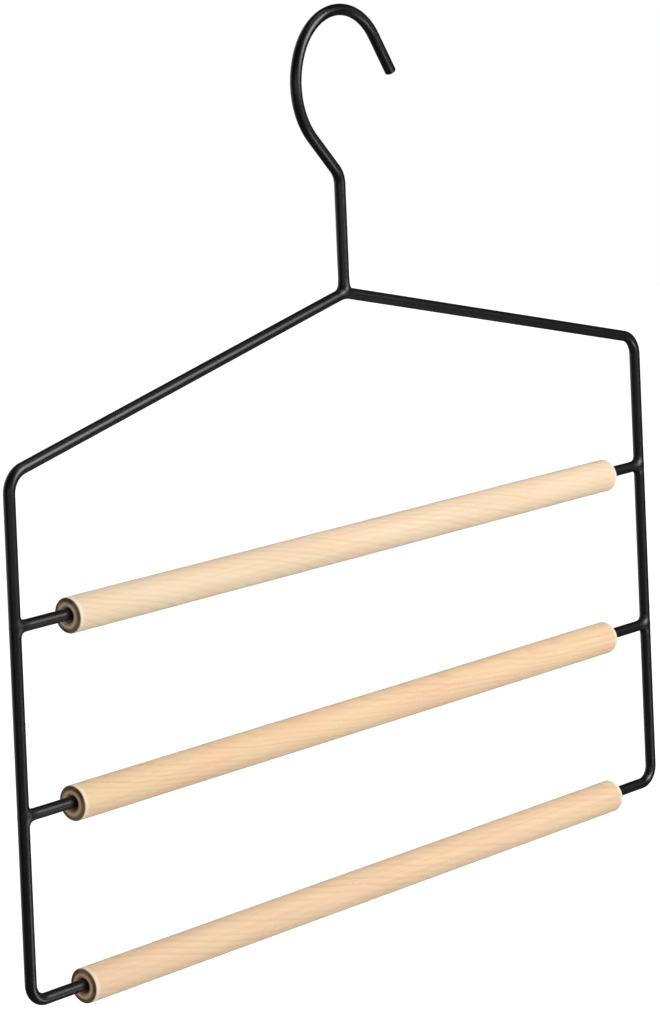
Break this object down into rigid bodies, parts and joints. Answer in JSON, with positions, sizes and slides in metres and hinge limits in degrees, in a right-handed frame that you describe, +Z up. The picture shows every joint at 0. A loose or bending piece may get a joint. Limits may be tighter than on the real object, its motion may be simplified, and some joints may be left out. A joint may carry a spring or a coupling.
{
  "type": "trouser hanger",
  "caption": "Trouser hanger of bent black wire: a welded hook on a closed frame, with tiered bars that each carry a freely turning wooden dowel.",
  "frame": {"origin": "the point of the hook's inner crown straight above the stem, where the hanger rests on its rod", "axes": "+Z up, +X along the dowels towards the side that the hook opens to, and -Y out of the front; the wires' centre lines lie in the plane Y = 0"},
  "size_m": [0.3566, 0.0126, 0.3332],
  "materials": {
    "black_coat": "satin black powder coat",
    "pale_wood": "sanded pale hardwood, unvarnished"
  },
  "bodies": {
    "wire_frame": {"frame_wire": "black_coat", "hook_wire": "black_coat", "upper_crossbar": "black_coat", "middle_crossbar": "black_coat", "apex_weld": "black_coat", "upper_left_weld": "black_coat", "upper_right_weld": "black_coat", "middle_left_weld": "black_coat", "middle_right_weld": "black_coat"},
    "upper_roller": {"upper_dowel": "pale_wood"},
    "middle_roller": {"middle_dowel": "pale_wood"},
    "lower_roller": {"lower_dowel": "pale_wood"}
  },
  "joints": [
    {"name": "upper_dowel_spin", "type": "hinge", "parent": "wire_frame", "child": "upper_roller", "pos_m": [0.0011, 0, -0.19192], "axis": [1, 0, 0], "continuous": true},
    {"name": "middle_dowel_spin", "type": "hinge", "parent": "wire_frame", "child": "middle_roller", "pos_m": [-0.0016, 0, -0.25722], "axis": [1, 0, 0], "continuous": true},
    {"name": "lower_dowel_spin", "type": "hinge", "parent": "wire_frame", "child": "lower_roller", "pos_m": [-0.0011, 0, -0.32252], "axis": [1, 0, 0], "continuous": true}
  ]
}
